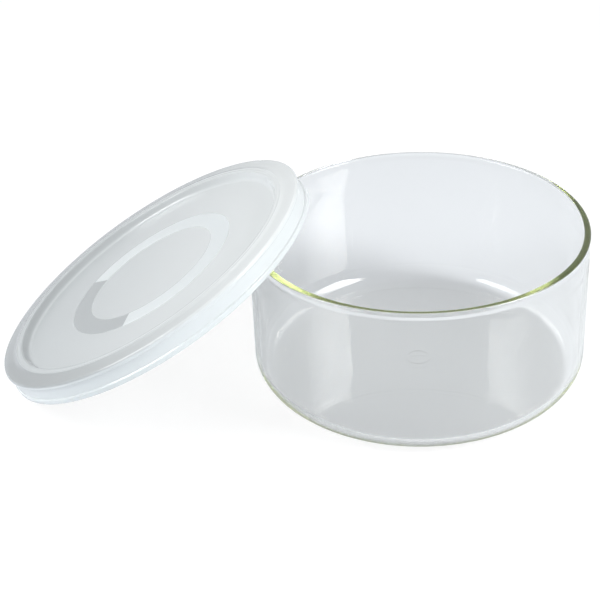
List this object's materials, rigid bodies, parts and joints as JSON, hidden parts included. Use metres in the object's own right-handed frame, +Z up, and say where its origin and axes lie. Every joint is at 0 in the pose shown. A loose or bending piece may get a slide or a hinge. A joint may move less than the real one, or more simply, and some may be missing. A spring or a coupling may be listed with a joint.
{
  "type": "crystallizing dish",
  "caption": "Low, wide glass laboratory dish with a flat bottom and a rounded rim, and its press-on plastic lid leaning on the rim.",
  "frame": {"origin": "centre of the dish's flat underside, on the surface it stands on", "axes": "+Z up along the dish's own axis; the lid leans on the rim from the -X side; +Y is away from the front, and the part is symmetric about the XZ plane"},
  "size_m": [0.3384, 0.202, 0.1097],
  "materials": {
    "glass": "clear, polished, very faint green",
    "lid_plastic": "satin, milky and slightly translucent"
  },
  "bodies": {
    "dish": {"dish": "glass"},
    "lid": {"lid": "lid_plastic"}
  },
  "joints": [
    {"name": "lid_lift", "type": "slide", "parent": "dish", "child": "lid", "axis": [-0.4898, 0, 0.8718], "range_m": [0, 0.15]}
  ]
}
